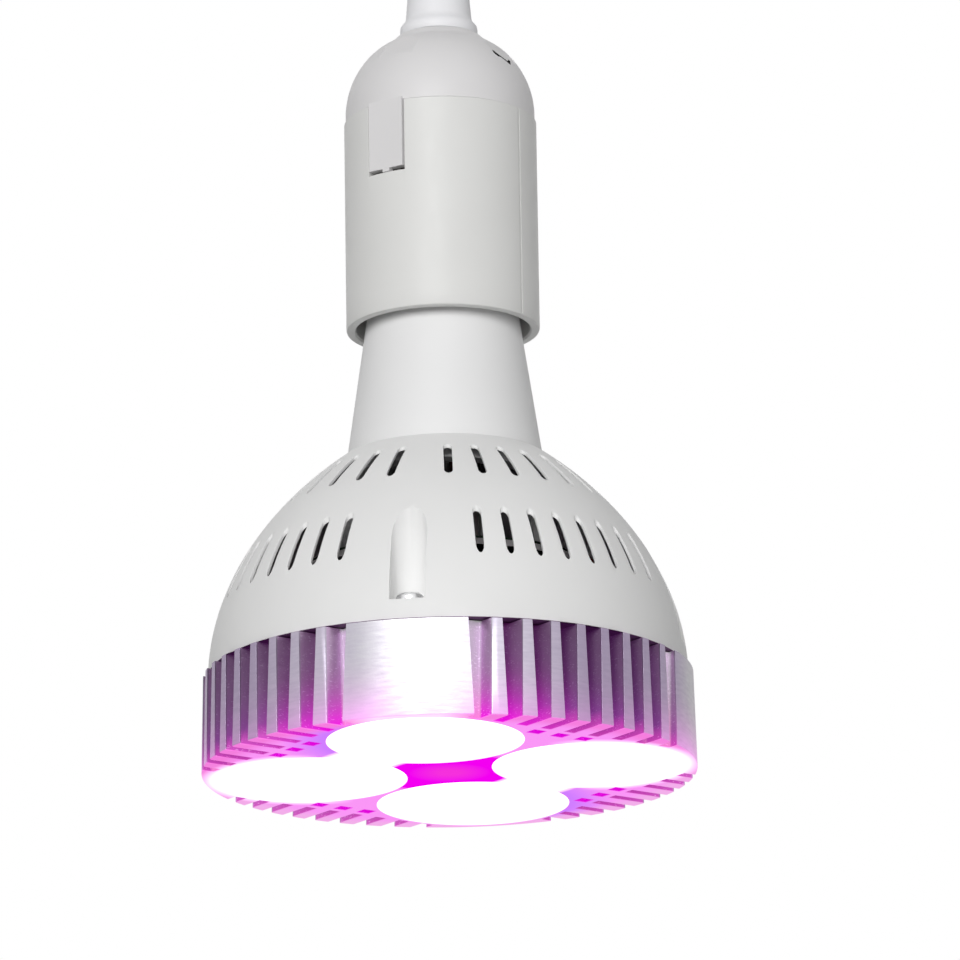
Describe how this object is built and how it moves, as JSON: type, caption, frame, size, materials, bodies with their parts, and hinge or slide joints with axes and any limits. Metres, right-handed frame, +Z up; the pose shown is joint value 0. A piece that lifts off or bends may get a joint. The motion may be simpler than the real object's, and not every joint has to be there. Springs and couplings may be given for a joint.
{
  "type": "grow light bulb",
  "caption": "Reflector-shaped LED grow lamp with a finned cast heat sink, round lenses, a vented dome over a fan, and a screw cap, screwed into a pendant lamp holder with a cord boot.",
  "frame": {"origin": "centre of the heat sink's front face, which carries the lenses", "axes": "+Z runs up the lamp's axis from the face to the cord boot; the front lens points along -Y"},
  "size_m": [0.095, 0.095, 0.168],
  "materials": {
    "cast_aluminium": "bare casting, turned on the block faces",
    "lens": "frosted and lit",
    "diode_board": "white solder resist",
    "dome_plastic": "satin moulded white",
    "neck_plastic": "satin moulded white",
    "holder_plastic": "semi-gloss moulded white",
    "boot_plastic": "satin moulded white",
    "insert_plastic": "matt moulded white",
    "fan_plastic": "satin moulded black",
    "board_laminate": "green solder resist",
    "capacitor_sleeve": "shrunk sleeve",
    "film_case": "moulded case",
    "ferrite": "matt dark grey",
    "insulator": "black glass",
    "nickel_brass": "nickel plated",
    "bare_brass": "bare",
    "zinc_steel": "zinc plated",
    "red_wire": "wire sleeve",
    "black_wire": "wire sleeve"
  },
  "bodies": {
    "bulb": {"heat_sink": "cast_aluminium", "lens_front": "lens", "lens_right": "lens", "lens_back": "lens", "lens_left": "lens", "led_board_front": "diode_board", "led_board_right": "diode_board", "led_board_back": "diode_board", "led_board_left": "diode_board", "led_lead_front": "red_wire", "led_lead_right": "red_wire", "led_lead_back": "red_wire", "led_lead_left": "red_wire", "vented_dome": "dome_plastic", "dome_screw_front": "zinc_steel", "dome_screw_right": "zinc_steel", "dome_screw_back": "zinc_steel", "dome_screw_left": "zinc_steel", "fan_frame": "fan_plastic", "fan_screw_1": "zinc_steel", "fan_screw_2": "zinc_steel", "fan_screw_3": "zinc_steel", "fan_screw_4": "zinc_steel", "driver_board": "board_laminate", "input_capacitor": "capacitor_sleeve", "output_capacitor": "capacitor_sleeve", "line_choke": "ferrite", "film_capacitor": "film_case", "transformer": "ferrite", "driver_screw_1": "zinc_steel", "driver_screw_2": "zinc_steel", "fan_lead": "black_wire", "cap_centre_lead": "red_wire", "cap_side_lead": "black_wire", "neck_housing": "neck_plastic", "cap_shell": "nickel_brass", "cap_insulator": "insulator", "cap_contact": "nickel_brass"},
    "fan": {"fan_rotor": "fan_plastic"},
    "boot": {"cord_boot": "boot_plastic", "boot_nut": "zinc_steel"},
    "holder": {"holder_skirt": "holder_plastic", "holder_crown": "holder_plastic", "terminal_insert": "insert_plastic", "screw_shell": "nickel_brass", "centre_contact": "bare_brass", "shell_strap": "bare_brass", "line_terminal": "bare_brass", "neutral_terminal": "bare_brass", "line_terminal_screw": "zinc_steel", "neutral_terminal_screw": "zinc_steel"}
  },
  "joints": [
    {"name": "holder_lift", "type": "slide", "parent": "bulb", "child": "boot", "axis": [0, 0, 1], "range_m": [0, 0.0164]},
    {"name": "holder_turn", "type": "hinge", "parent": "boot", "child": "holder", "pos_m": [0, 0, 0.148], "axis": [0, 0, 1], "range_deg": [0, 1620]},
    {"name": "fan_spin", "type": "hinge", "parent": "bulb", "child": "fan", "pos_m": [0, 0, 0.0265], "axis": [0, 0, 1], "continuous": true}
  ],
  "couplings": [
    {"joint": "holder_lift", "follows": "holder_turn", "m_per_rad": 0.00057757}
  ]
}
